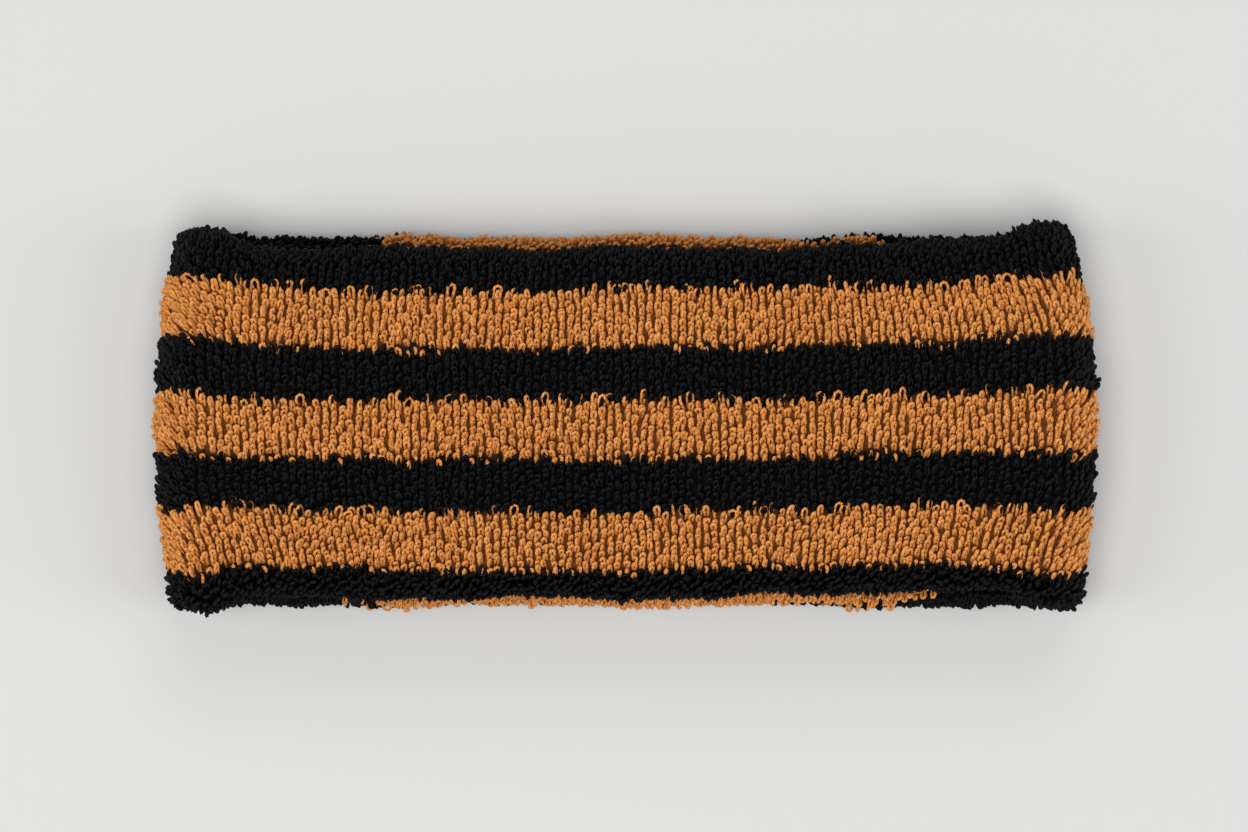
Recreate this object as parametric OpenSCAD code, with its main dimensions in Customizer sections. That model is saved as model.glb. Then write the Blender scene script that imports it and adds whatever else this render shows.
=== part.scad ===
// Terry sweatband, relaxed and lying flat.
//
// One loop-pile tube is knitted in stripes, folded double over both rims and
// joined end to end on its inner face, so every wall is two plies thick:
// pile, knit, air gap, knit, pile.
//
// The opening runs along Y. The band rests on Z = 0 and is widest along X.
// A wall section is drawn in the XY plane as (s, y), where s is the distance
// outwards from the middle of the wall, and is then swept round the band.
// Lengths are in millimetres and angles in degrees.

/* [Band] */
// Width of the flat band at its middle
band_w = 180; // [150:1:220]
// Height from rim to rim
band_h = 73.4; // [68:0.1:90]
// Radius of the middle of the wall at the two side folds
fold_r = 8; // [7.8:0.1:12]
// How far the rims draw in from the bulge at mid height
rim_draw = 2; // [0.5:0.1:2.4]
// Depth of pile pressed flat where the band rests
rest_depth = 0.8; // [0.3:0.1:1]

/* [Wall] */
// Height of the loop pile
pile_h = 2.3; // [1.6:0.1:2.8]
// Thickness of the knit that holds the loops
knit_t = 0.8; // [0.5:0.1:1]
// Air gap between the two plies
ply_gap = 0.8; // [0.8:0.1:1.2]
// Clearance between neighbouring pieces
ease = 0.1; // [0.08:0.01:0.14]

/* [Stripes] */
// Width of an orange stripe
orange_w = 11; // [8:0.1:13.2]
// Width of a black stripe
black_w = 10.4; // [8:0.1:12.5]
// Height of the middle stripe's centre above the middle of the band
stripe_shift = -1.1; // [-2:0.1:2]

/* [Elastic] */
// Thickness of the elastic thread
elastic_d = 0.5; // [0.3:0.05:0.55]
// Distance between elastic threads
elastic_pitch = 5.2; // [3:0.1:8]

/* [Seam] */
// Width of the channel that the join leaves in the inner pile
seam_channel = 3; // [2:0.1:4]
// Thickness of the sewing thread
stitch_d = 0.35; // [0.2:0.01:0.6]
// Distance between stitches
stitch_pitch = 4; // [2:0.1:8]

/* [Hidden] */
BLACK_YARN = "#18181a";
ORANGE_YARN = "#c07a3e";
KNIT_YARN = "#33261d";
ELASTIC_YARN = "#d9d4c6";
SEWING_THREAD = "#5a5a5e";

// The stripes in the order that the tube is knitted: up the inner ply from the
// join, over the upper rim, down the outer ply, over the lower rim and back
STRIPES = [
    "inner_orange_stripe_2", "inner_black_stripe_1", "inner_orange_stripe_1",
    "upper_rim_black_stripe",
    "outer_orange_stripe_1", "outer_black_stripe_1", "outer_orange_stripe_2",
    "outer_black_stripe_2", "outer_orange_stripe_3",
    "lower_rim_black_stripe",
    "inner_orange_stripe_4", "inner_black_stripe_2", "inner_orange_stripe_3"
];
$fn = 180;
thread_fn = 24;

// Wall build-up, as distances from the middle of the wall
knit_in = ply_gap / 2;
knit_out = knit_in + knit_t;
pile_in = knit_out + ease;
pile_out = knit_out + pile_h;

// The section bows on a large arc, so that the rims draw in by rim_draw
rim_y = band_h / 2 - pile_out;
bow_r = (rim_y * rim_y + rim_draw * rim_draw) / (2 * rim_draw);
rim_angle = asin(rim_y / bow_r);
rim_centre = [bow_r * cos(rim_angle) - bow_r, rim_y];

// The path round the band: straight below and above, a fold at each side
fold_x = band_w / 2 - fold_r - pile_out;
floor_z = pile_out - rest_depth;
fold_z = floor_z + fold_r;
straight_len = 2 * fold_x;
fold_len = PI * fold_r;
path_len = 2 * (straight_len + fold_len);

// Lengths of knit, from the join at mid height of the inner ply: one ply's
// half, a rim, the whole outer ply, the other rim and the other half
half_ply = bow_r * rim_angle * PI / 180;
rim_len = PI * (knit_in + knit_t / 2);
tube_len = 4 * half_ply + 2 * rim_len;

// Stripe edges along the tube, counted from the middle stripe outwards
mid_stripe = (len(STRIPES) - 1) / 2;
mid_u = tube_len / 2 - stripe_shift;
pitch_w = orange_w + black_w;
function stripe_mid(i) = mid_u + (i - mid_stripe) * pitch_w / 2;
function stripe_w(i) = i % 2 == 0 ? orange_w : black_w;
function stripe_start(i) =
    i == 0 ? seam_channel / 2 : stripe_mid(i) - stripe_w(i) / 2 + ease / 2;
function stripe_end(i) =
    i == len(STRIPES) - 1 ? tube_len - seam_channel / 2
    : stripe_mid(i) + stripe_w(i) / 2 - ease / 2;

// Stations along the tube at which a section has its corners
ply_steps = 8;
rim_steps = 12;
stations = concat(
    [for (k = [0:ply_steps - 1]) k * half_ply / ply_steps],
    [for (k = [0:rim_steps - 1]) half_ply + k * rim_len / rim_steps],
    [for (k = [0:2 * ply_steps - 1]) half_ply + rim_len + k * half_ply / ply_steps],
    [for (k = [0:rim_steps - 1]) 3 * half_ply + rim_len + k * rim_len / rim_steps],
    [for (k = [0:ply_steps]) 3 * half_ply + 2 * rim_len + k * half_ply / ply_steps]
);
station_gap = 0.05;

// Elastic threads: the inner ones lie halfway between the outer ones
outer_rows = floor((half_ply - elastic_d) / elastic_pitch + 0.5);
inner_rows = floor((half_ply - elastic_d) / elastic_pitch);
elastic_s = knit_in - ease - elastic_d / 2;

stitch_count = round(path_len / stitch_pitch);
stitch_s = -(knit_out + ease + stitch_d / 2);

// Point [s, y] on a ply, at height y along its arc and depth s
function on_ply(y, s) = let (a = y / bow_r * 180 / PI)
    [(bow_r + s) * cos(a) - bow_r, (bow_r + s) * sin(a)];

// Point [s, y] round a rim, side 1 above and -1 below, with turn going from 0
// on the outer ply to 180 on the inner one
function on_rim(side, turn, r) = let (a = rim_angle + turn)
    [rim_centre[0] + r * cos(a), side * (rim_centre[1] + r * sin(a))];

// Point [s, y] at length u along the tube and distance d from the wall's middle
function on_tube(u, d) =
    let (v = u < tube_len / 2 ? u : tube_len - u, side = u < tube_len / 2 ? 1 : -1)
    v < half_ply ? on_ply(side * v, -d)
    : v < half_ply + rim_len ? on_rim(side, 180 * (1 - (v - half_ply) / rim_len), d)
    : on_ply(side * (tube_len / 2 - v), d);

// 2D: the tube's section from length u0 to u1 and from depth d0 to d1
module tube_section(u0, u1, d0, d1) {
    inside = [for (u = stations) if (u > u0 + station_gap && u < u1 - station_gap) u];
    along = concat([u0], inside, [u1]);
    back = [for (k = [len(along) - 1:-1:0]) along[k]];
    polygon(concat([for (u = along) on_tube(u, d1)], [for (u = back) on_tube(u, d0)]));
}

// 3D: sweeps a wall section round the whole band
module sweep_band() {
    for (side = [-1, 1])
        translate([0, 0, fold_z + side * fold_r]) rotate([0, -side * 90, 0])
            linear_extrude(height = straight_len, center = true) children();
    for (side = [0, 1]) mirror([side, 0, 0])
        translate([fold_x, 0, fold_z]) rotate([-90, 0, 0]) rotate([0, 0, -90])
            rotate_extrude(angle = 180) translate([fold_r, 0]) children();
}

// Stripe i of the pile, cut off at the surface that the band rests on
module stripe(i) {
    color(i % 2 == 0 ? ORANGE_YARN : BLACK_YARN) difference() {
        sweep_band() tube_section(stripe_start(i), stripe_end(i), pile_in, pile_out);
        translate([-band_w, -band_h, -band_h]) cube([2 * band_w, 2 * band_h, band_h]);
    }
}

// The knit that carries the loops: one tube, folded over both rims, with its
// two ends meeting at the join
module ground_knit() {
    color(KNIT_YARN) sweep_band() tube_section(ease, tube_len - ease, knit_in, knit_out);
}

// One elastic thread, as a ring round the band at height y and depth s
module elastic_thread(y, s) {
    sweep_band() translate(on_ply(y, s)) circle(d = elastic_d, $fn = thread_fn);
}

// Elastic laid into the back of the outer ply
module outer_elastic_threads() {
    color(ELASTIC_YARN) for (row = [1:outer_rows], side = [-1, 1])
        elastic_thread(side * (row - 0.5) * elastic_pitch, elastic_s);
}

// Elastic laid into the back of the inner ply
module inner_elastic_threads() {
    color(ELASTIC_YARN) for (row = [1:inner_rows], side = [-1, 1])
        elastic_thread(side * row * elastic_pitch, -elastic_s);
}

// Point [x, z] at a length along the path and depth s, starting at the left
// end of the lower wall and going round by the right-hand fold
function on_path(along, s) = let (half = path_len / 2)
    along >= half ? [-on_path(along - half, s)[0], 2 * fold_z - on_path(along - half, s)[1]]
    : along < straight_len ? [along - fold_x, fold_z - fold_r - s]
    : let (a = (along - straight_len) / fold_len * 180 - 90)
        [fold_x + (fold_r + s) * cos(a), fold_z + (fold_r + s) * sin(a)];

// The stitches that bridge the join in its channel
module seam_stitches() {
    color(SEWING_THREAD) for (i = [0:stitch_count - 1]) {
        at = on_path((i + 0.5) * path_len / stitch_count, stitch_s);
        translate([at[0], 0, at[1]]) rotate([90, 0, 0])
            cylinder(d = stitch_d, h = seam_channel - 2 * ease, center = true, $fn = thread_fn);
    }
}

for (i = [0:len(STRIPES) - 1])
    stripe(i);
ground_knit();
outer_elastic_threads();
inner_elastic_threads();
seam_stitches();
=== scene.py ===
"""Looks of a striped terry sweatband that lies flat.

The band is one loop-pile tube, folded double over both rims. Its surface is a
function of two numbers: round, which goes once round the band from 0 to 1, and
tube, the length of knit from the middle of the outer ply, up over the upper
rim or down over the lower one to the join at the middle of the inner ply.
Every loop of yarn, the knit, the elastic and the join are worked out from it.
Lengths are in metres and angles in radians.
"""

import bpy
import numpy as np
from bpy.props import FloatProperty, FloatVectorProperty, IntProperty, PointerProperty
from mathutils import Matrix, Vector


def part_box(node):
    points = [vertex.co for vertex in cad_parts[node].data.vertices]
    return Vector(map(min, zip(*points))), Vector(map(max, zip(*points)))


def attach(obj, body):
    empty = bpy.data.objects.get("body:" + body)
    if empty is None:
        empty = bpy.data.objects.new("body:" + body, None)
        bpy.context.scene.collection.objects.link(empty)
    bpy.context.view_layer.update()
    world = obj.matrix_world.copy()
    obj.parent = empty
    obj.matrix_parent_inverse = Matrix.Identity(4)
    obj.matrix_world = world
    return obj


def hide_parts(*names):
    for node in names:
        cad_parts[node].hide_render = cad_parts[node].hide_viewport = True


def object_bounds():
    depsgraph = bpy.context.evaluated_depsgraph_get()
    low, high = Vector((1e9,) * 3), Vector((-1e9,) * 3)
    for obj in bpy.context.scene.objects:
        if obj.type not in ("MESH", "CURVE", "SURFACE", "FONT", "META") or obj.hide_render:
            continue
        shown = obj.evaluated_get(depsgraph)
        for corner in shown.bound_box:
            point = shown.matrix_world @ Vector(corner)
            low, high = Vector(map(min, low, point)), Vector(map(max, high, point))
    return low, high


bl_info = {
    "name": "Terry Sweatband",
    "version": (1, 0, 0),
    "blender": (4, 5, 0),
    "location": "View3D > Sidebar > Sweatband",
    "description": "Makes a striped terry sweatband loop by loop round its fitted frame",
    "category": "Add Mesh",
}

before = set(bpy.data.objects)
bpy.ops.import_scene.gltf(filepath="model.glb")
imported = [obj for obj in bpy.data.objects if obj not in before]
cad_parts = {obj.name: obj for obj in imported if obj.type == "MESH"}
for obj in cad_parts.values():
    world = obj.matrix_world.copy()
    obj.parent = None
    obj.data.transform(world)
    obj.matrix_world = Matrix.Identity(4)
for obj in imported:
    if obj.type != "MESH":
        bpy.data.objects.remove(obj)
CAD_BOX = [list(map(float, corner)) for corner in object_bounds()]
(X_LOW, _, _), (X_HIGH, Y_HIGH, Z_HIGH) = CAD_BOX
KNIT_LOW, KNIT_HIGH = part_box("ground_knit")
TAU = 2 * np.pi

# The stripes in the order that the tube is knitted, from the join at the
# middle of the inner ply over the upper rim and back to it over the lower one
STRIPES = (
    ("inner_orange_stripe_2", "orange"),
    ("inner_black_stripe_1", "black"),
    ("inner_orange_stripe_1", "orange"),
    ("upper_rim_black_stripe", "black"),
    ("outer_orange_stripe_1", "orange"),
    ("outer_black_stripe_1", "black"),
    ("outer_orange_stripe_2", "orange"),
    ("outer_black_stripe_2", "black"),
    ("outer_orange_stripe_3", "orange"),
    ("lower_rim_black_stripe", "black"),
    ("inner_orange_stripe_4", "orange"),
    ("inner_black_stripe_2", "black"),
    ("inner_orange_stripe_3", "orange"),
)
MID_STRIPE = len(STRIPES) // 2
# How many times the knit's length a rim's fold counts for rows of loops
FAN = 4.6
# Turns of the yarn's twist along one loop, from leg to leg
TWIST = 9.0
# Clearance between neighbouring pieces
EASE = 0.0001
# Share of the loops in an orange stripe's last row that stand out, and of those in its
# first row that slip down
STANDING_SHARE, SLIPPED_SHARE = 0.6, 0.4
# Shares of the way up the legs and up the crown in the depth value of a loop's points, which drives
# painted shade that darkens the loops' roots
LEG_SHADE_SHARE, CROWN_SHADE_SHARE = 0.85, 0.15
# How fine the fibres of the pile and of the knit are, as scales of noise
PILE_FIBRE, KNIT_FIBRE = 3400.0, 4200.0
# Width of the view in flat bands, and the point of the band that it is centred on
VIEW_WIDTH, VIEW_CENTRE = 1.312, (-0.0004, 0.0005)
WORLD_COLOUR, WORLD_STRENGTH = (0.9, 0.93, 1.0, 1.0), 0.37
# Soft lamps: name, place, size and power in watts
LAMPS = (
    ("key", (-0.1, -0.22, 1.08), (0.8, 0.5), 9.0),
    ("left", (-0.9, -0.1, 0.45), (0.5, 0.9), 4.5),
    ("right", (0.9, -0.1, 0.45), (0.5, 0.9), 4.5),
    ("fill", (0.1, 0.8, 0.7), (0.8, 0.4), 2.5),
)


# ---------------------------------------------------------------- settings


def length(name, description, default):
    return FloatProperty(name=name, description=description, default=default, unit="LENGTH",
                         precision=5, min=0.0)


def colour(name, description, default):
    return FloatVectorProperty(name=name, description=description, default=default,
                               subtype="COLOR", size=3, min=0.0, max=1.0)


class SweatbandShape(bpy.types.PropertyGroup):
    """How the band is built up and how it lies"""

    pile: length("Pile height", "Height of the loop pile over the knit",
                 float(KNIT_LOW[0]) - X_LOW)
    knit: length("Knit thickness", "Thickness of the knit that holds the loops", 0.0008)
    ply_gap: length("Ply gap", "Air gap between the two plies", 0.0008)
    rim_draw: length("Rim draw", "How far the rims draw in from the bulge", 0.002)
    barrel: length("Barrel", "Further draw of the side folds at the rims", 0.0022)
    orange_width: length("Orange stripe", "Width of an orange stripe", 0.011)
    black_width: length("Black stripe", "Width of a black stripe", 0.0104)
    stripe_drop: length("Stripe drop", "How far the middle stripe lies below the middle", 0.0011)
    seam_channel: length("Seam channel", "Width of the channel at the join", 0.003)
    upper_dip: length("Upper dip", "How far the near wall's upper rim dips", 0.0039)
    lower_dip: length("Lower dip", "How far the near wall's lower rim dips", 0.0031)
    far_dip: length("Far dip", "How far the far wall's upper rim dips", 0.0018)
    upper_roll: length("Upper roll", "Knit rolled out over the far wall's upper rim", 0.0044)
    lower_roll: length("Lower roll", "Knit rolled out over the far wall's lower rim", 0.0052)


class SweatbandPile(bpy.types.PropertyGroup):
    """The loops of yarn"""

    wale: length("Wale", "Width of one column of loops", 0.001525)
    course: length("Course", "Distance between rows of loops", 0.0011)
    strand: length("Strand", "Radius of the twisted yarn", 0.00036)
    loop: length("Loop", "Length of a loop from the knit to its tip", 0.0028)
    eye: length("Eye", "Distance between a loop's two legs at its widest", 0.00068)
    lay: length("Lay", "How far the tips lie above their own roots", 0.0016)
    seed: IntProperty(name="Seed", description="Start of the random numbers", default=7, min=0)


class SweatbandColours(bpy.types.PropertyGroup):
    """Yarn and surroundings"""

    orange: colour("Orange yarn", "Colour of the orange loops", (0.80, 0.33, 0.085))
    black: colour("Black yarn", "Colour of the black loops", (0.002, 0.002, 0.0022))
    elastic: colour("Elastic", "Colour of the covered elastic", (0.6, 0.57, 0.5))
    thread: colour("Sewing thread", "Colour of the join's thread", (0.05, 0.05, 0.055))
    floor: colour("Floor", "Colour of the floor", (0.52, 0.515, 0.5))


def settings():
    scene = bpy.context.scene
    return scene.sweatband_shape, scene.sweatband_pile, scene.sweatband_colours


# ---------------------------------------------------------------- surface


def smooth(value, low, high):
    """Rises from 0 at low to 1 at high: 3 t^2 - 2 t^3 of the clipped share t."""
    share = np.clip((value - low) / (high - low), 0.0, 1.0)
    return share * share * (3.0 - 2.0 * share)


def bell(value, middle, spread):
    """1 at the middle, falling off on both sides: exp(-((value - middle) / spread)^2)."""
    return np.exp(-(((value - middle) / spread) ** 2))


class Band:
    """The band's measures, worked out from the frame and the settings."""

    def __init__(self, shape):
        self.shape = shape
        self.knit_in = shape.ply_gap / 2
        self.knit_out = self.knit_in + shape.knit
        self.pile_out = self.knit_out + shape.pile
        self.fold_r = float(KNIT_HIGH[2] - KNIT_LOW[2]) / 2 - self.knit_out
        self.fold_x = X_HIGH - self.fold_r - self.pile_out
        self.fold_z = float(KNIT_HIGH[2] + KNIT_LOW[2]) / 2
        self.straight = 2 * self.fold_x
        self.fold = np.pi * self.fold_r
        self.path = 2 * (self.straight + self.fold)
        rim_y = Y_HIGH - self.pile_out
        self.bow_r = (rim_y**2 + shape.rim_draw**2) / (2 * shape.rim_draw)
        self.half_ply = self.bow_r * np.arcsin(rim_y / self.bow_r)
        self.rim = np.pi * (self.knit_in + shape.knit / 2)
        self.half_tube = 2 * self.half_ply + self.rim

    def stripe(self, index):
        """Lower and upper edge of a stripe along the tube, counted up from the outer
        ply's middle. The two stripes at the join end at its channel."""
        shape = self.shape
        pitch = (shape.orange_width + shape.black_width) / 2
        middle = -shape.stripe_drop - (index - MID_STRIPE) * pitch
        half = (shape.orange_width if STRIPES[index][1] == "orange" else shape.black_width) / 2
        end = self.half_tube - shape.seam_channel / 2
        low = -end if index == len(STRIPES) - 1 else middle - half
        high = end if index == 0 else middle + half
        return low, high

    def path_at(self, turns):
        """Point (x, z) of the wall's middle and its outward normal, at a share of the way
        round: two straight runs and two half circles, starting in the middle underneath."""
        along = np.mod(turns, 1.0) * self.path
        half = self.straight / 2
        turn = (np.clip(along - half, 0, self.fold)
                + np.clip(along - half - self.fold - self.straight, 0, self.fold)) / self.fold_r
        angle = turn - np.pi / 2
        run = (np.clip(along, 0, half) - np.clip(along - half - self.fold, 0, self.straight)
               + np.clip(along - half - 2 * self.fold - self.straight, 0, half))
        normal_x, normal_z = np.cos(angle), np.sin(angle)
        return (run + self.fold_r * normal_x, self.fold_z + self.fold_r * normal_z,
                normal_x, normal_z)

    def rims_at(self, turns, upper):
        """Height at which a rim's fold starts, and the length of knit on the outer ply up
        to it, for the upper rim where upper is true and for the lower one elsewhere.
        The height is half a ply plus two small sines, less a dip between the side folds,
        which has a bell to the right of the middle on the near wall's lower rim, and less or
        plus a little at the side folds. The length is the height divided by a squeeze that
        varies along the near wall, plus the far wall's roll. The roll comes in two steps:
        first up to the fold's crest, and further in the middle over it."""
        x, _, normal_x, normal_z = self.path_at(turns)
        shape = self.shape
        flat = smooth(self.fold_x + 0.003 - np.abs(x), 0.0, 0.012)
        near, far = smooth(normal_z, 0.0, 1.0), smooth(-normal_z, 0.0, 1.0)
        wave = 0.0003 * np.sin(x * 131 + 1.0) + 0.0002 * np.sin(x * 287 + 2.0 + normal_z)
        ends = 0.13 * (x / X_HIGH) ** 6
        hollow, far_lower_dip = 0.0007, 0.0007
        lower_dip = shape.lower_dip + hollow * bell(x, 0.038, 0.016)
        dip = np.where(upper, near * shape.upper_dip + far * shape.far_dip,
                       near * lower_dip + far * far_lower_dip)
        start = self.half_ply + wave - flat * dip
        left_drop, upper_right_rise = 0.0009, 0.0002
        at_right, at_left = smooth(normal_x, 0.2, 1.0), smooth(-normal_x, 0.2, 1.0)
        start = start + np.where(upper, upper_right_rise * at_right - left_drop * at_left,
                                 -left_drop * at_left)
        upper_end, lower_end, off_middle = 0.058, 0.068, 0.001
        reach = np.where(upper, upper_end - np.abs(x + off_middle),
                         lower_end - np.abs(x - off_middle))
        upper_over, lower_over = 0.0014, 0.002
        over = smooth(reach, 0.0, 0.045)
        roll = np.where(upper,
                        (shape.upper_roll - upper_over) * smooth(reach, -0.012, 0.016)
                        + upper_over * over,
                        (shape.lower_roll - lower_over) * smooth(reach, -0.018, 0.010)
                        + lower_over * over)
        squeeze = ends + np.where(upper, 0.965 + 0.02 * np.sin(x * 62 + 0.6),
                                  0.975 + 0.015 * np.sin(x * 71 + 2.4))
        squeeze = 1.0 + (squeeze - 1.0) * near
        return start, start / squeeze + far * roll

    def section(self, turns, tube):
        """Height along the ply's arc of the wall's middle, turn from the outer ply, 0, to the
        inner one, pi, and side, 1 above and -1 below, for a length along the tube."""
        upper = tube >= 0
        side = np.where(upper, 1.0, -1.0)
        start, knit = self.rims_at(turns, upper)
        away = np.abs(tube)
        inner = self.half_tube - knit - self.rim
        share = np.clip((away - knit - self.rim) / inner, 0.0, None)
        height = np.where(away < knit, start * away / knit, start * (1.0 - share))
        height = np.where((away >= knit) & (away < knit + self.rim), start, height)
        turn = np.pi * np.clip((away - knit) / self.rim, 0.0, 1.0)
        return height, turn, side

    def place(self, turns, height, turn, side, depth):
        """Point and local axes for a section position, at a distance from the wall's middle.
        The axes run round the band, along the tube and out of the knit. In the section the
        point is the ply's arc plus depth in the direction that is turned past its normal."""
        x, z, normal_x, normal_z = self.path_at(turns)
        bow = height / self.bow_r
        face = bow + turn
        out = self.bow_r * (np.cos(bow) - 1.0) + depth * np.cos(face)
        up = self.bow_r * np.sin(bow) + depth * np.sin(face)
        point = np.stack([x + normal_x * out, side * up, z + normal_z * out], axis=-1)
        out_axis = np.stack([normal_x * np.cos(face), side * np.sin(face),
                             normal_z * np.cos(face)], axis=-1)
        round_axis = np.stack([-normal_z, np.zeros_like(normal_z), normal_x], axis=-1)
        tube_axis = np.stack([-side * normal_x * np.sin(face), np.cos(face),
                              -side * normal_z * np.sin(face)], axis=-1)
        return point, round_axis, tube_axis, out_axis

    def slant(self, turns, tube):
        """Share of the way round by which a column of loops has moved on at a length along
        the tube. Towards the rims the columns at both ends of the near wall run to its
        middle, as the outline does. Each end's move is one size below the middle and
        another above it, times a rise and fall in the length along the tube, times a ramp
        that fades out on both sides of the fold. Above the middle the left end has none."""
        along = np.mod(turns, 1.0) * self.path
        right = (self.straight + self.fold) / 2
        run = smooth(np.abs(tube), 0.012, 0.034) * (1.0 - smooth(np.abs(tube), 0.040, 0.065))
        moved, below = 0.0, 0.0036
        for fold, side, above in ((right, 1.0, 0.0032), (self.path - right, -1.0, 0.0)):
            inwards = side * (along - fold)
            reach = (1.0 - smooth(inwards, 0.031, 0.056)) * (1.0 - smooth(-inwards, 0.031, 0.081))
            moved = moved + side * np.where(tube >= 0, above, below) * run * reach
        return moved / self.path

    def surface(self, turns, tube, depth):
        """Point and local axes at a length along the tube."""
        height, turn, side = self.section(turns, tube)
        return self.place(turns, height, turn, side, depth)

    def settle(self, points):
        """How the finished band lies. The side folds draw in with the square of the height,
        more in the upper half, and the upper right further with its square and its eighth
        power. The near wall sinks a little and sways: up by a bell at the right end, by a
        ramp at the left one, and by a bell that lifts the lowest stripe near it. It ripples
        and swells by sines of a fraction of a loop. What reaches the floor is pressed flat:
        z becomes c exp((z - c) / c) below c."""
        x, y, z = points[..., 0], points[..., 1], points[..., 2]
        near = smooth(z, self.fold_z - 0.004, self.fold_z + 0.008)
        tall = y / Y_HIGH
        sink, right_rise, left_rise, stripe_rise = 0.0005, 0.0018, 0.0017, 0.0024
        sway = -sink + right_rise * bell(x, 0.073, 0.028)
        sway = sway + (left_rise * smooth(-x, 0.068, 0.086) * smooth(y, -0.024, -0.008)
                       * np.maximum(1.0 - tall**2, 0.0))
        lifted = smooth(-y, 0.004, 0.018) * (1.0 - smooth(-y, 0.026, 0.0375))
        lift = stripe_rise * bell(x, -0.0755, 0.0095) * lifted
        ripple = 0.00022 * np.sin(x * 173 + y * 60) + 0.00016 * np.sin(x * 391 - y * 95 + 1.3)
        settled = np.empty_like(points)
        above = np.maximum(tall, 0.0)
        draw = self.shape.barrel * (0.45 * tall**2 + 0.55 * above**2)
        draw = draw + (0.0006 * above**2 + 0.0004 * above**8) * smooth(x, 0.0, 0.05)
        settled[..., 0] = x * (1.0 + (0.0004 - draw) / X_HIGH)
        settled[..., 1] = y + near * (sway + lift + ripple)
        swell = 0.0004 * np.sin(x * 83 + y * 47) + 0.0003 * np.sin(x * 149 - y * 121 + 0.7)
        z = z + near * swell
        press = 0.001
        low = press * np.exp(np.minimum(z - press, 0.0) / press)
        settled[..., 2] = np.where(z < press, low, z)
        return settled


# ---------------------------------------------------------------- meshes


def add_mesh(name, points, quads, material, maps=None, values=None):
    """A smooth-shaded object from points (n, 3) and quads (m, 4), with UV maps given per
    face corner and plain values given per point."""
    mesh = bpy.data.meshes.new(name)
    mesh.vertices.add(len(points))
    mesh.vertices.foreach_set("co", np.ascontiguousarray(points, dtype=np.float32).ravel())
    mesh.loops.add(quads.size)
    mesh.loops.foreach_set("vertex_index", np.ascontiguousarray(quads, dtype=np.int32).ravel())
    mesh.polygons.add(len(quads))
    mesh.polygons.foreach_set("loop_start", np.arange(0, quads.size, 4, dtype=np.int32))
    for map_name, corners in (maps or {}).items():
        layer = mesh.uv_layers.new(name=map_name)
        layer.data.foreach_set("uv", np.ascontiguousarray(corners, dtype=np.float32).ravel())
    for value_name, each in (values or {}).items():
        layer = mesh.attributes.new(value_name, "FLOAT", "POINT")
        layer.data.foreach_set("value", np.ascontiguousarray(each, dtype=np.float32).ravel())
    mesh.update(calc_edges=True)
    mesh.validate()
    mesh.shade_smooth()
    mesh.materials.append(material)
    piece = bpy.data.objects.new(name, mesh)
    bpy.context.scene.collection.objects.link(piece)
    return piece


def tube_quads(rings, sides, count, capped):
    """Quads of count tubes, each of so many rings of so many points, one after another,
    with a quad over both ends of a four-sided tube."""
    ring, side = np.meshgrid(np.arange(rings - 1), np.arange(sides), indexing="ij")
    following = (side + 1) % sides
    wall = np.stack([ring * sides + side, (ring + 1) * sides + side,
                     (ring + 1) * sides + following, ring * sides + following], axis=-1)
    one = wall.reshape(-1, 4)
    if capped:
        last = (rings - 1) * sides
        one = np.concatenate([one, [[0, 1, 2, 3]], [[last + 3, last + 2, last + 1, last]]])
    starts = np.arange(count) * rings * sides
    return (starts[:, None, None] + one[None]).reshape(-1, 4)


def closed_tube(points, normals, radius, sides):
    """Points and quads of tubes that run round closed paths (count, steps, 3): circles in
    the plane of each path point's normal and its cross product with the path's direction."""
    count, steps, _ = points.shape
    along = np.roll(points, -1, axis=1) - np.roll(points, 1, axis=1)
    along /= np.linalg.norm(along, axis=-1, keepdims=True)
    across = np.cross(along, normals)
    across /= np.linalg.norm(across, axis=-1, keepdims=True)
    upright = np.cross(across, along)
    angle = TAU * np.arange(sides) / sides
    circle = (np.cos(angle)[:, None] * across[:, :, None, :]
              + np.sin(angle)[:, None] * upright[:, :, None, :])
    rings = points[:, :, None, :] + radius * circle
    step, side = np.meshgrid(np.arange(steps), np.arange(sides), indexing="ij")
    after, following = (step + 1) % steps, (side + 1) % sides
    one = np.stack([step * sides + side, step * sides + following,
                    after * sides + following, after * sides + side], axis=-1).reshape(-1, 4)
    starts = np.arange(count) * steps * sides
    quads = (starts[:, None, None] + one[None]).reshape(-1, 4)
    return rings.reshape(-1, 3), quads


# ---------------------------------------------------------------- loops


def hairpin(leg_steps, crown_steps):
    """A flat hairpin of two legs and a half-circle crown. Returns for each of its points
    the distance from the middle line as a share of half the eye, the height as a share of
    the legs and as a share of half the eye, and the outward direction (sideways, up)."""
    leg = np.linspace(0.0, 1.0, leg_steps + 1)
    crown = np.linspace(0.0, np.pi, crown_steps + 1)[1:-1]
    foot = 0.45
    spread = foot + (1 - foot) * np.sin(leg * np.pi / 2)
    sideways = np.concatenate([spread, np.cos(crown), -spread[::-1]])
    on_legs = np.concatenate([leg, np.ones(len(crown)), leg[::-1]])
    on_crown = np.concatenate([leg * 0, np.sin(crown), leg * 0])
    away = np.concatenate([leg * 0 + 1, np.cos(crown), leg * 0 - 1])
    up = np.concatenate([leg * 0, np.sin(crown), leg * 0])
    return sideways, on_legs, on_crown, away, up


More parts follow.
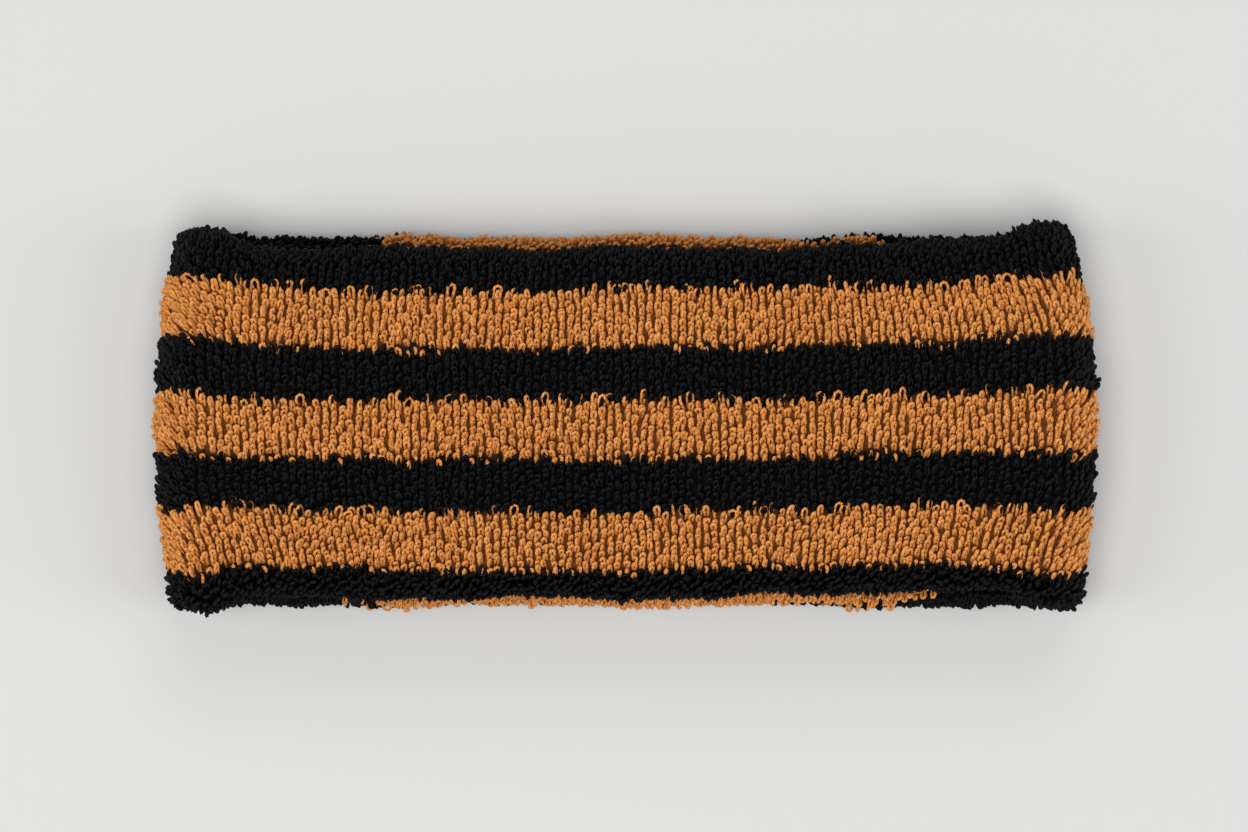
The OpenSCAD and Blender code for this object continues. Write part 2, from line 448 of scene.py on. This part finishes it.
class LoopSpread:
    """Random measures of many loops, drawn in a fixed order: tone in standard deviations,
    lengths that vary by 11, 16 and 7 percent, and normal angles given as mean and spread.
    Bend, the angle that a loop's lean grows by, is kept above 0, as it is divided by."""

    def __init__(self, random, count, pile):
        self.tone = np.clip(random.normal(0.0, 1.0, count), -2.2, 2.2)
        self.tall = pile.loop * (1.0 + 0.11 * np.clip(random.normal(0.0, 1.0, count), -2, 2))
        self.eye = pile.eye * (1.0 + 0.16 * np.clip(random.normal(0.0, 1.0, count), -2, 2))
        self.radius = pile.strand * (1.0 + 0.07 * random.normal(0.0, 1.0, count))
        self.twist = random.normal(0.9, 0.8, count)
        self.face = random.normal(0.65, 0.35, count)
        self.tilt = random.normal(0.0, 0.07, count)
        self.start_lean = random.normal(0.22, 0.10, count)
        self.bend = np.maximum(random.normal(0.85, 0.15, count), 0.2)


def loop_lines(spread, form, lean_side):
    """Centre lines of loops and their outward directions, in each loop's own axes (round,
    along, out). A hairpin is turned about its axis by face + twist * height, and the axis
    leans by an angle that grows evenly from start_lean by bend: its run is the integral of
    that angle's sine, its rise the integral of the cosine."""
    sideways, on_legs, on_crown, away, up = form
    half_eye = (spread.eye / 2)[:, None]
    legs = spread.tall[:, None] - half_eye
    height = legs * on_legs + half_eye * on_crown
    share = height / spread.tall[:, None]
    turn = spread.face[:, None] + spread.twist[:, None] * (share - 1.0)
    first, bend = spread.start_lean[:, None], spread.bend[:, None]
    lean = first + bend * share
    run = spread.tall[:, None] * (np.cos(first) - np.cos(lean)) / bend
    rise = spread.tall[:, None] * (np.sin(lean) - np.sin(first)) / bend
    offset = half_eye * sideways
    tilt = (spread.tilt + lean_side)[:, None]
    flat = np.stack([np.cos(turn), np.sin(turn) * np.cos(lean), -np.sin(turn) * np.sin(lean)],
                    axis=-1)
    axis = np.stack([np.sin(tilt) * np.ones_like(lean), np.sin(lean) * np.cos(tilt),
                     np.cos(lean)], axis=-1)
    sideways_rise = 0.5
    centre = np.stack([run * np.sin(tilt) + rise * np.sin(tilt) * sideways_rise,
                       run * np.cos(tilt), rise], axis=-1)
    line = centre + offset[..., None] * flat
    outward = away[:, None] * flat + up[:, None] * axis
    return line, outward


def sweep_loops(line, outward, radius):
    """Four-sided tubes round the centre lines: the outward direction made square to the
    line, and its cross product with the line's direction, span each ring."""
    along = np.gradient(line, axis=1)
    along /= np.linalg.norm(along, axis=-1, keepdims=True)
    outward = outward - np.sum(outward * along, axis=-1, keepdims=True) * along
    outward /= np.maximum(np.linalg.norm(outward, axis=-1, keepdims=True), 1e-9)
    across = np.cross(along, outward)
    angle = TAU * np.arange(4) / 4
    circle = (np.cos(angle)[:, None] * outward[:, :, None, :]
              + np.sin(angle)[:, None] * across[:, :, None, :])
    return line[:, :, None, :] + radius[:, None, None, None] * circle


def atlas_maps(count, rings, turns, cells, taken):
    """Two UV maps of capped four-sided tubes: OFBake gives every loop a cell of its own in
    a square grid of cells by cells, after the first so many that are taken, and Yarn runs
    from 0 to 1 round the yarn and from 0 to turns along it."""
    ring, side = np.meshgrid(np.arange(rings - 1), np.arange(4), indexing="ij")
    round_low, round_high = side / 4, (side + 1) / 4
    along_low, along_high = ring / (rings - 1), (ring + 1) / (rings - 1)
    wall = np.stack([np.stack([round_low, along_low], -1), np.stack([round_low, along_high], -1),
                     np.stack([round_high, along_high], -1),
                     np.stack([round_high, along_low], -1)], axis=-2).reshape(-1, 4, 2)
    corner = np.array([[0.0, 0.0], [0.02, 0.0], [0.02, 0.02], [0.0, 0.02]])
    one = np.concatenate([wall * [1.0, 0.94] + [0.0, 0.03], [corner], [corner + [0.5, 0.98]]])
    index = np.arange(count) + taken
    cell = np.stack([index % cells, index // cells], axis=-1)
    margin = 0.08
    baked = (cell[:, None, None, :] + margin + one[None] * (1 - 2 * margin)) / cells
    yarn = np.broadcast_to(one[None] * [1.0, turns], (count, *one.shape))
    return {"OFBake": baked.reshape(-1, 2), "Yarn": yarn.reshape(-1, 2)}


def stretched(away, knit, rim):
    """Length along the tube with a rim's fold counted FAN times. The pile fans out there,
    so its tips lie on a larger circle than its roots and need more rows."""
    return away + (FAN - 1.0) * np.clip(away - knit, 0.0, rim)


def unstretched(value, knit, rim):
    """The inverse of stretched."""
    inside = knit + (value - knit) / FAN
    beyond = value - (FAN - 1.0) * rim
    return np.where(value < knit, value, np.where(value < knit + FAN * rim, inside, beyond))


def loop_roots(band, pile, low, high, random):
    """Where the loops of one stripe stand: columns round the band, and rows in each column
    spaced evenly in stretched length, with neighbouring columns half a row apart and every
    loop a little off its place. Odd rows sit aside from even ones, most of all over a rim.
    Returns way round, length along the tube and the loop's place in its column: -1 in the
    first row, 1 in the last and 0 between them."""
    stagger, jitter = 0.25, 0.12
    columns = int(round(band.path / pile.wale))
    turns = (np.arange(columns) + 0.5) / columns
    ends = []
    for edge in (low, high):
        _, knit = band.rims_at(turns, edge >= 0)
        ends.append(np.sign(edge) * stretched(abs(edge), knit, band.rim) - pile.lay)
    rows = np.round((ends[1] - ends[0]) / pile.course).astype(int)
    row = np.arange(rows.max())[None, :]
    shift = np.where(np.arange(columns) % 2, stagger, -stagger)[:, None]
    shift = shift + random.uniform(-jitter, jitter, (columns, 1))
    shift = row + 0.5 + shift + random.uniform(-jitter, jitter, (columns, rows.max()))
    share = shift / rows[:, None]
    value = ends[0][:, None] + (ends[1] - ends[0])[:, None] * share
    kept = (row < rows[:, None]).ravel()
    end = (row == rows[:, None] - 1) * 1.0 - (row == 0)
    end = np.broadcast_to(end, value.shape).ravel()[kept]
    column = np.broadcast_to(np.arange(columns)[:, None], value.shape).ravel()[kept]
    value = value.ravel()[kept]
    fan = np.abs(value) - band.rims_at((column + 0.5) / columns, value >= 0)[1]
    fan = smooth(fan, -0.002, 0.0) * (1.0 - smooth(fan, FAN * band.rim, FAN * band.rim + 0.002))
    odd = np.broadcast_to(row % 2, (columns, rows.max())).ravel()[kept] - 0.5
    weave = (odd * (0.06 + 0.44 * fan) + 0.08 * np.sin(value * 880 + column * 2.1)
             + random.uniform(-0.05, 0.05, value.size))
    way = (column + 0.5 + weave) / columns
    way = way + band.slant(way, value)
    knit = band.rims_at(way, value >= 0)[1]
    tube = np.sign(value) * unstretched(np.abs(value), knit, band.rim)
    return way, tube, end


def loop_batch(band, pile, random, way, tube, end, form):
    """Points, quads and values of the loops that stand at the given places. Some of those
    in a last row are longer, thinner, mostly wider and lie flatter. Some of those in a first
    row are shorter, turned any way and slipped down, less so near a rim. Loops at the
    side folds lean further. Drift is a sideways lean: two sines that make neighbours lean
    alike, and a lean at both ends of the band, all fading out towards the rims."""
    count = len(way)
    spread = LoopSpread(random, count, pile)
    edge = (end > 0) & (random.random(count) < STANDING_SHARE)
    spread.tall = np.where(edge, spread.tall * random.uniform(1.0, 1.3, count), spread.tall)
    spread.eye = np.where(edge, spread.eye * random.uniform(0.9, 2.3, count), spread.eye)
    spread.radius = np.where(edge, spread.radius * 0.88, spread.radius)
    spread.start_lean = spread.start_lean + np.where(edge, random.uniform(0.1, 0.5, count), 0.0)
    slipped = (end < 0) & (random.random(count) < SLIPPED_SHARE)
    room = 1.0 - 0.7 * smooth(np.abs(tube), band.half_ply - 0.006, band.half_ply - 0.001)
    tube = tube - np.where(slipped, random.uniform(0.0004, 0.0010, count), 0.0) * room
    spread.tall = np.where(slipped, spread.tall * 0.9, spread.tall)
    spread.face = np.where(slipped, random.uniform(-1.5, 1.5, count), spread.face)
    aside = smooth(np.abs(band.path_at(way)[2]), 0.1, 0.7)
    spread.start_lean = spread.start_lean + 0.2 * aside
    point, round_axis, tube_axis, out_axis = band.surface(way, tube, band.knit_out - pile.strand)
    x, y = point[:, 0], point[:, 1]
    drift = (0.08 * np.sin(x * 140 + y * 210 + 1.0) + 0.05 * np.sin(x * 333 - y * 120)
             - (0.12 + 0.4 * smooth(y, 0.004, 0.022)) * smooth(-x, 0.062, 0.085)
             - 0.3 * smooth(y, 0.008, 0.03) * smooth(x, 0.05, 0.08))
    drift *= 1.0 - smooth(np.abs(tube), band.half_ply - 0.009, band.half_ply - 0.003)
    line, outward = loop_lines(spread, form, drift)
    axes = np.stack([round_axis, tube_axis, out_axis], axis=1)
    facing = np.sign(np.linalg.det(axes))[:, None]
    line[..., 0] *= facing
    outward[..., 0] *= facing
    line = point[:, None, :] + np.einsum("nka,nab->nkb", line, axes)
    outward = np.einsum("nka,nab->nkb", outward, axes)
    points = band.settle(sweep_loops(line, outward, spread.radius))
    rings = line.shape[1]
    return {
        "points": points.reshape(-1, 3),
        "quads": tube_quads(rings, 4, count, True),
        "rings": rings,
        "count": count,
        "tone": np.repeat(spread.tone, rings * 4),
        # depth runs from 0 at the roots to 1 at the crown and sets the painted root shade
        "depth": np.tile(np.repeat(form[1] * LEG_SHADE_SHARE + form[2] * CROWN_SHADE_SHARE, 4), count),
    }


def add_pile_stripe(band, pile, index, seen_form, hidden_form, material):
    """One stripe of pile, loop by loop. The loops that face down, to the floor or into the
    band, are drawn with fewer points. Only an orange stripe has loops that stand out or
    slip down at its edges."""
    facing_down = -0.35
    name, yarn = STRIPES[index]
    random = np.random.default_rng(pile.seed + index)
    low, high = band.stripe(index)
    way, tube, end = loop_roots(band, pile, low, high, random)
    end = end * (yarn == "orange")
    seen = band.surface(way, tube, band.knit_out)[3][:, 2] > facing_down
    cells = int(np.ceil(np.sqrt(len(way))))
    batches, maps, first, taken = [], [], 0, 0
    for chosen, form in ((seen, seen_form), (~seen, hidden_form)):
        batch = loop_batch(band, pile, random, way[chosen], tube[chosen], end[chosen], form)
        batch["quads"] = batch["quads"] + first
        maps.append(atlas_maps(batch["count"], batch["rings"], TWIST, cells, taken))
        first, taken = first + len(batch["points"]), taken + batch["count"]
        batches.append(batch)

    def joined(part, key):
        return np.concatenate([each[key] for each in part])

    piece = add_mesh(name + "_loops", joined(batches, "points"), joined(batches, "quads"),
                     material, {"OFBake": joined(maps, "OFBake"), "Yarn": joined(maps, "Yarn")},
                     {"tone": joined(batches, "tone"), "depth": joined(batches, "depth")})
    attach(piece, "root")
    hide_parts(name)


# ---------------------------------------------------------------- knit


def stripe_share(band, tube):
    """1 where the knit at a length along the tube is orange and 0 where it is black. The
    orange ends short of the stripe's upper edge, which only the loops' tips reach."""
    shape = band.shape
    pitch = shape.orange_width + shape.black_width
    offset = np.mod(tube + shape.stripe_drop + pitch / 2, pitch) - pitch / 2
    short, blend = 0.0012, 0.0006
    low, high = -shape.orange_width / 2, shape.orange_width / 2 - short
    return smooth(offset, low, low + blend) * (1.0 - smooth(offset, high - blend, high))


def add_ground_knit(band, pile, material):
    """The knit that holds the loops: a sheet as long as the tube, with an outer and an
    inner skin that meet in a rim along both of its ends, closed round the band. Its rows
    of points lie at the sine of even steps, so they are closer together towards the join."""
    steps, round_steps, crowding = 100, 220, 2.6
    end = band.half_tube - EASE
    tube = end * np.sin(np.linspace(-1, 1, steps) * np.pi / crowding) / np.sin(np.pi / crowding)
    turns = np.arange(round_steps) / round_steps
    way = np.broadcast_to(turns[:, None], (round_steps, steps))
    outer = band.surface(way, np.broadcast_to(tube, way.shape), band.knit_out)[0]
    inner = band.surface(way, np.broadcast_to(tube, way.shape), band.knit_in)[0]
    ring = np.concatenate([outer, inner[:, ::-1]], axis=1)
    points = band.settle(ring)
    around, place = np.meshgrid(np.arange(round_steps), np.arange(2 * steps), indexing="ij")
    next_round, next_place = (around + 1) % round_steps, (place + 1) % (2 * steps)
    width = 2 * steps
    quads = np.stack([around * width + place, next_round * width + place,
                      next_round * width + next_place, around * width + next_place],
                     axis=-1).reshape(-1, 4)
    length_along = np.concatenate([tube, tube[::-1]])
    value = np.broadcast_to(stripe_share(band, length_along), (round_steps, width))
    columns = round(band.path / pile.wale)
    rows = length_along / pile.course
    place_after = np.concatenate([rows[1:], rows[:1]])
    u_low, u_high = around / round_steps, (around + 1) / round_steps
    v_low, v_high = rows[place], place_after[place]
    knit_map = np.stack([np.stack([u_low * columns, v_low], -1),
                         np.stack([u_high * columns, v_low], -1),
                         np.stack([u_high * columns, v_high], -1),
                         np.stack([u_low * columns, v_high], -1)], axis=-2)
    bake_v, bake_next = place / width, (place + 1) / width
    bake_map = np.stack([np.stack([u_low, bake_v], -1), np.stack([u_high, bake_v], -1),
                         np.stack([u_high, bake_next], -1), np.stack([u_low, bake_next], -1)],
                        axis=-2)
    piece = add_mesh("ground_knit_sheet", points.reshape(-1, 3), quads, material,
                     {"OFBake": bake_map.reshape(-1, 2), "Knit": knit_map.reshape(-1, 2)},
                     {"orange": value})
    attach(piece, "root")
    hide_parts("ground_knit")
    return piece


def add_elastic(band, name, outer, material):
    """Elastic threads in the back of one ply, as rings round the band. The outer ply's
    begin half a pitch from the middle, and the inner one's a whole pitch."""
    pitch, radius, steps = 0.0052, 0.00025, 128
    first = 0.5 if outer else 1.0
    rows = np.arange(first * pitch, band.half_ply - 2 * radius, pitch)
    heights = np.concatenate([rows, -rows])
    turns = np.broadcast_to(np.arange(steps) / steps, (len(heights), steps))
    side = np.broadcast_to(np.sign(heights)[:, None], turns.shape)
    start = band.rims_at(turns, side > 0)[0]
    height = np.abs(heights)[:, None] / band.half_ply * start
    turn = np.full(turns.shape, 0.0 if outer else np.pi)
    depth = band.knit_in - radius - EASE
    point, _, _, out_axis = band.place(turns, height, turn, side, depth)
    points, quads = closed_tube(point, out_axis, radius, 5)
    piece = add_mesh(name + "_rings", band.settle(points), quads, material)
    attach(piece, "root")
    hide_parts(name)


def add_seam(band, material):
    """The thread that closes the join: a zigzag across its channel, all the way round. Its
    height swings evenly from side to side, and its depth rises by one less the square of
    the swing, so it arches over the join."""
    stitches, each = 91, 8
    radius, margin, lowest, arch = 0.000175, 0.0003, 0.0002, 0.0003
    steps = stitches * each
    phase = np.arange(steps) / each
    turns = (np.arange(steps) / steps)[None, :]
    swing = 2 * np.abs(2 * np.mod(phase, 1.0) - 1.0) - 1.0
    height = np.abs(swing)[None, :] * (band.shape.seam_channel / 2 - margin)
    side = np.where(swing >= 0, 1.0, -1.0)[None, :]
    depth = band.knit_out + lowest + arch * (1 - swing[None, :] ** 2)
    point, _, _, out_axis = band.place(turns, height, np.full(turns.shape, np.pi), side, depth)
    points, quads = closed_tube(point, out_axis, radius, 6)
    piece = add_mesh("seam_stitches_thread", band.settle(points), quads, material)
    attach(piece, "root")
    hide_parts("seam_stitches")


# ---------------------------------------------------------------- materials


class Nodes:
    """A short way to lay out a material's nodes."""

    def __init__(self, name):
        self.material = bpy.data.materials.new(name)
        self.material.use_nodes = True
        self.tree = self.material.node_tree
        self.shader = self.tree.nodes["Principled BSDF"]

    def add(self, kind, **settings_of):
        node = self.tree.nodes.new(kind)
        for key, value in settings_of.items():
            setattr(node, key, value)
        return node

    def feed(self, socket, source):
        if isinstance(source, bpy.types.NodeSocket):
            self.tree.links.new(source, socket)
        else:
            socket.default_value = source

    def math(self, operation, first, second=0.0, clamp=False):
        node = self.add("ShaderNodeMath", operation=operation, use_clamp=clamp)
        self.feed(node.inputs[0], first)
        self.feed(node.inputs[1], second)
        return node.outputs[0]

    def mix(self, share, first, second, blend="MIX"):
        node = self.add("ShaderNodeMix", data_type="RGBA", blend_type=blend)
        self.feed(node.inputs["Factor"], share)
        self.feed(node.inputs["A"], first)
        self.feed(node.inputs["B"], second)
        return node.outputs["Result"]

    def noise(self, scale, detail=2.0):
        place = self.add("ShaderNodeTexCoord").outputs["Object"]
        node = self.add("ShaderNodeTexNoise")
        self.feed(node.inputs["Vector"], place)
        self.feed(node.inputs["Scale"], scale)
        self.feed(node.inputs["Detail"], detail)
        return node.outputs["Fac"]

    def bump(self, height, distance, strength=1.0):
        node = self.add("ShaderNodeBump")
        self.feed(node.inputs["Height"], height)
        self.feed(node.inputs["Distance"], distance)
        self.feed(node.inputs["Strength"], strength)
        self.feed(self.shader.inputs["Normal"], node.outputs["Normal"])


def scaled(shade, factor, power=1.0):
    """A shade raised to a power, which deepens its hue above 1, and then scaled."""
    return (*[min(1.0, factor * channel**power) for channel in shade], 1.0)


def ply_waves(nodes, plies):
    """A wave that climbs round the yarn once for each ply: sin(2 pi (plies u + v))."""
    place = nodes.add("ShaderNodeUVMap", uv_map="Yarn")
    parts = nodes.add("ShaderNodeSeparateXYZ")
    nodes.feed(parts.inputs[0], place.outputs["UV"])
    phase = nodes.math("ADD", nodes.math("MULTIPLY", parts.outputs["X"], float(plies)),
                       parts.outputs["Y"])
    wave = nodes.math("SINE", nodes.math("MULTIPLY", phase, TAU))
    return nodes.math("ADD", nodes.math("MULTIPLY", wave, 0.5), 0.5)


def pile_material(name, deep, bright, specular, roughness):
    """Two-ply cotton loops: the plies' twist in bump, and in tone as painted light and shade,
    fibres as fine noise, loops that differ a little from each other, and painted shade that
    darkens the roots and lightens the crowns a little."""
    nodes = Nodes(name)
    wave = ply_waves(nodes, 2)
    fibre = nodes.noise(PILE_FIBRE, 3.0)
    tone = nodes.add("ShaderNodeAttribute", attribute_name="tone").outputs["Fac"]
    # Painted shade: depth darkens the loops' roots and lightens their crowns a little
    depth = nodes.add("ShaderNodeAttribute", attribute_name="depth").outputs["Fac"]
    share = nodes.math("MULTIPLY", tone, 0.12)
    # The ply wave's share of the tone is painted light on the plies' ridges and painted shade in their
    # grooves; the bump gives their relief
    for value, middle, weight in ((wave, 0.5, 0.6), (fibre, 0.5, 2.4),
                                  (nodes.noise(38.0), 0.5, 0.4), (depth, 0.75, 0.4)):
        shift = nodes.math("MULTIPLY", nodes.math("SUBTRACT", value, middle), weight)
        share = nodes.math("ADD", share, shift)
    share = nodes.math("ADD", share, 0.5, clamp=True)
    nodes.feed(nodes.shader.inputs["Base Color"], nodes.mix(share, deep, bright))
    nodes.shader.inputs["Roughness"].default_value = roughness
    nodes.shader.inputs["Specular IOR Level"].default_value = specular
    height = nodes.math("ADD", nodes.math("MULTIPLY", wave, 0.8), nodes.math("MULTIPLY", fibre, 0.9))
    nodes.bump(height, 0.00018, 0.75)
    return nodes.material


def knit_material(orange, black):
    """Close jersey behind the loops: rows of small arches in bump, and each stripe's yarn
    darkened below its loops' colour as painted shade from the loops over it."""
    nodes = Nodes("ground knit")
    place = nodes.add("ShaderNodeUVMap", uv_map="Knit")
    parts = nodes.add("ShaderNodeSeparateXYZ")
    nodes.feed(parts.inputs[0], place.outputs["UV"])
    column = nodes.math("SINE", nodes.math("MULTIPLY", parts.outputs["X"], TAU))
    slope = nodes.math("MULTIPLY", nodes.math("ABSOLUTE", column), 0.5)
    row = nodes.math("SINE", nodes.math("MULTIPLY", nodes.math("ADD", parts.outputs["Y"], slope), TAU))
    relief = nodes.math("ADD", nodes.math("MULTIPLY", row, 0.5), nodes.math("MULTIPLY", column, 0.3))
    fibre = nodes.noise(KNIT_FIBRE, 3.0)
    share = nodes.add("ShaderNodeAttribute", attribute_name="orange").outputs["Fac"]
    # Painted shade: the knit's orange at 0.3 and black at 0.8 stand in for the shade that the loops
    # cast on it
    yarn = nodes.mix(share, scaled(black, 0.8), scaled(orange, 0.3, 1.3))
    worn = nodes.mix(nodes.math("MULTIPLY", fibre, 0.5), yarn, scaled(black, 0.5))
    nodes.feed(nodes.shader.inputs["Base Color"], worn)
    nodes.shader.inputs["Roughness"].default_value = 0.92
    nodes.shader.inputs["Specular IOR Level"].default_value = 0.2
    nodes.bump(nodes.math("ADD", relief, nodes.math("MULTIPLY", fibre, 0.6)), 0.0002, 0.8)
    return nodes.material


def thread_material(name, shade, scale, roughness):
    """Thread with its fibres as fine noise in tone and bump."""
    nodes = Nodes(name)
    fibre = nodes.noise(scale, 2.0)
    nodes.feed(nodes.shader.inputs["Base Color"],
               nodes.mix(fibre, scaled(shade, 0.6), scaled(shade, 1.25)))
    nodes.shader.inputs["Roughness"].default_value = roughness
    nodes.bump(fibre, 0.0001, 0.7)
    return nodes.material


def floor_material(shade):
    """A plain matt surface."""
    nodes = Nodes("floor")
    nodes.shader.inputs["Base Color"].default_value = (*shade, 1.0)
    nodes.shader.inputs["Roughness"].default_value = 0.9
    nodes.shader.inputs["Specular IOR Level"].default_value = 0.2
    return nodes.material


# ---------------------------------------------------------------- operators


class SWEATBAND_OT_pile(bpy.types.Operator):
    """Makes every stripe of pile, loop by loop"""

    bl_idname = "sweatband.pile"
    bl_label = "Loop pile"

    def execute(self, context):
        shape, pile, colours = settings()
        band = Band(shape)
        yarns = {
            # Orange: the deep end, darker and deeper in hue, is painted shade between the loops and
            # the bright end painted highlight; the mix also carries random tone and fibre grain
            "orange": pile_material("orange terry yarn", scaled(colours.orange, 0.62, 1.25),
                                    scaled(colours.orange, 0.9, 0.96), 0.14, 0.8),
            # Black: the spread from 0.1 to 2.6 times its base is painted fibre sheen through the fibre
            # noise, besides grain, and also carries the painted root shade
            "black": pile_material("black terry yarn", scaled(colours.black, 0.1),
                                   scaled(colours.black, 2.6), 0.12, 0.62),
        }
        fine, medium, plain, least = hairpin(3, 4), hairpin(2, 3), hairpin(1, 3), hairpin(1, 2)
        forms = {"outer": (fine, plain), "rim": (medium, least), "next": (medium, least),
                 "inner": (plain, least)}
        for index, (_, yarn) in enumerate(STRIPES):
            from_middle = abs(index - MID_STRIPE)
            kind = ("outer", "outer", "outer", "rim", "next", "inner", "inner")[from_middle]
            add_pile_stripe(band, pile, index, *forms[kind], yarns[yarn])
        return {"FINISHED"}


class SWEATBAND_OT_knit(bpy.types.Operator):
    bl_idname = "sweatband.knit"
    bl_label = "Ground knit"

    def execute(self, context):
        shape, pile, colours = settings()
        band = Band(shape)
        piece = add_ground_knit(band, pile, knit_material(colours.orange, colours.black))
        return {"FINISHED"}


class SWEATBAND_OT_elastic(bpy.types.Operator):
    """Makes the elastic threads inside both plies"""

    bl_idname = "sweatband.elastic"
    bl_label = "Elastic threads"

    def execute(self, context):
        shape, _, colours = settings()
        band = Band(shape)
        material = thread_material("covered elastic", colours.elastic, 3000.0, 0.7)
        add_elastic(band, "outer_elastic_threads", True, material)
        add_elastic(band, "inner_elastic_threads", False, material)
        return {"FINISHED"}


class SWEATBAND_OT_seam(bpy.types.Operator):
    """Makes the thread that closes the join"""

    bl_idname = "sweatband.seam"
    bl_label = "Seam thread"

    def execute(self, context):
        shape, _, colours = settings()
        add_seam(Band(shape), thread_material("sewing thread", colours.thread, 4000.0, 0.6))
        return {"FINISHED"}


def add_light(name, place, size, power):
    light = bpy.data.lights.new(name, "AREA")
    light.shape = "RECTANGLE"
    light.size, light.size_y = size
    light.energy = power
    lamp = bpy.data.objects.new(name, light)
    bpy.context.scene.collection.objects.link(lamp)
    lamp.location = place
    aim = Vector((0.0, 0.0, Z_HIGH / 2)) - lamp.location
    lamp.rotation_euler = aim.to_track_quat("-Z", "Y").to_euler()


class SWEATBAND_OT_stage(bpy.types.Operator):
    """Makes the floor, the lights and the camera straight above"""

    bl_idname = "sweatband.stage"
    bl_label = "Stage"

    def execute(self, context):
        _, _, colours = settings()
        scene = context.scene
        mesh = bpy.data.meshes.new("floor")
        reach = 4.0
        mesh.from_pydata([(-reach, -reach, 0), (reach, -reach, 0), (reach, reach, 0),
                          (-reach, reach, 0)], [], [(0, 1, 2, 3)])
        mesh.materials.append(floor_material(colours.floor))
        floor = bpy.data.objects.new("floor", mesh)
        scene.collection.objects.link(floor)
        world = bpy.data.worlds.new("studio")
        world.use_nodes = True
        background = world.node_tree.nodes["Background"]
        background.inputs["Color"].default_value = WORLD_COLOUR
        background.inputs["Strength"].default_value = WORLD_STRENGTH
        scene.world = world
        for lamp in LAMPS:
            add_light(*lamp)
        view = bpy.data.cameras.new("camera")
        view.lens = 135.0
        view.clip_start, view.clip_end = 0.01, 20.0
        camera = bpy.data.objects.new("camera", view)
        scene.collection.objects.link(camera)
        shown_width = VIEW_WIDTH * (X_HIGH - X_LOW)
        distance = shown_width * view.lens / view.sensor_width
        camera.location = (*VIEW_CENTRE, Z_HIGH * 0.8 + distance)
        scene.camera = camera
        scene.view_settings.view_transform = "Standard"
        return {"FINISHED"}


STEPS = (SWEATBAND_OT_stage, SWEATBAND_OT_pile, SWEATBAND_OT_knit, SWEATBAND_OT_elastic,
         SWEATBAND_OT_seam)


class SWEATBAND_PT_panel(bpy.types.Panel):
    """The band's settings and the steps that make it"""

    bl_idname = "SWEATBAND_PT_panel"
    bl_label = "Terry Sweatband"
    bl_space_type = "VIEW_3D"
    bl_region_type = "UI"
    bl_category = "Sweatband"

    def draw(self, context):
        for group in settings():
            box = self.layout.box()
            for name in type(group).__annotations__:
                box.prop(group, name)
        for step in STEPS:
            self.layout.operator(step.bl_idname)


GROUPS = {
    "sweatband_shape": SweatbandShape,
    "sweatband_pile": SweatbandPile,
    "sweatband_colours": SweatbandColours,
}
CLASSES = (*GROUPS.values(), *STEPS, SWEATBAND_PT_panel)


def register():
    for cls in CLASSES:
        bpy.utils.register_class(cls)
    for name, group in GROUPS.items():
        setattr(bpy.types.Scene, name, PointerProperty(type=group))


def unregister():
    for name in GROUPS:
        delattr(bpy.types.Scene, name)
    for cls in reversed(CLASSES):
        bpy.utils.unregister_class(cls)


def main():
    register()
    bpy.ops.sweatband.stage()
    bpy.ops.sweatband.pile()
    bpy.ops.sweatband.knit()
    bpy.ops.sweatband.elastic()
    bpy.ops.sweatband.seam()


if __name__ == "__main__":
    main()
